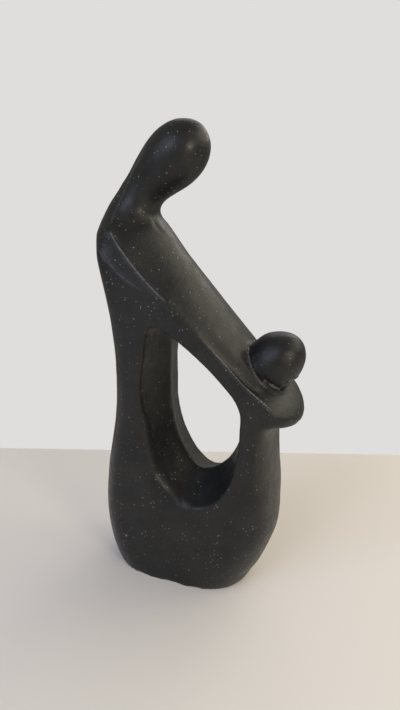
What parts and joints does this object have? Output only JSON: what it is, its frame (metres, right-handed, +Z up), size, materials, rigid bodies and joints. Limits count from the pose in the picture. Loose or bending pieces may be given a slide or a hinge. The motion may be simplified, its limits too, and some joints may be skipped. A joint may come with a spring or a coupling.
{
  "type": "parent and child sculpture",
  "caption": "Carved black stone figure of a faceless parent bending over a child's head held in joined arms, with an open teardrop space between back and arms, on a flat foot.",
  "frame": {"origin": "Middle of the bounding box at its lowest level, on the flat sawn foot that the figure stands on.", "axes": "+Z up. +X from the parent's back towards the child. The broad side shown in the picture faces -Y, and Y runs through the thickness."},
  "size_m": [0.1142, 0.057, 0.2514],
  "materials": {
    "black_stone": "Waxed and polished soapstone, blackened: charcoal with a soft semi-gloss shine, small pale flecks and fine scratches, and lighter worn ridge lines."
  },
  "bodies": {
    "root": {"parent_and_child": "black_stone"}
  },
  "joints": []
}
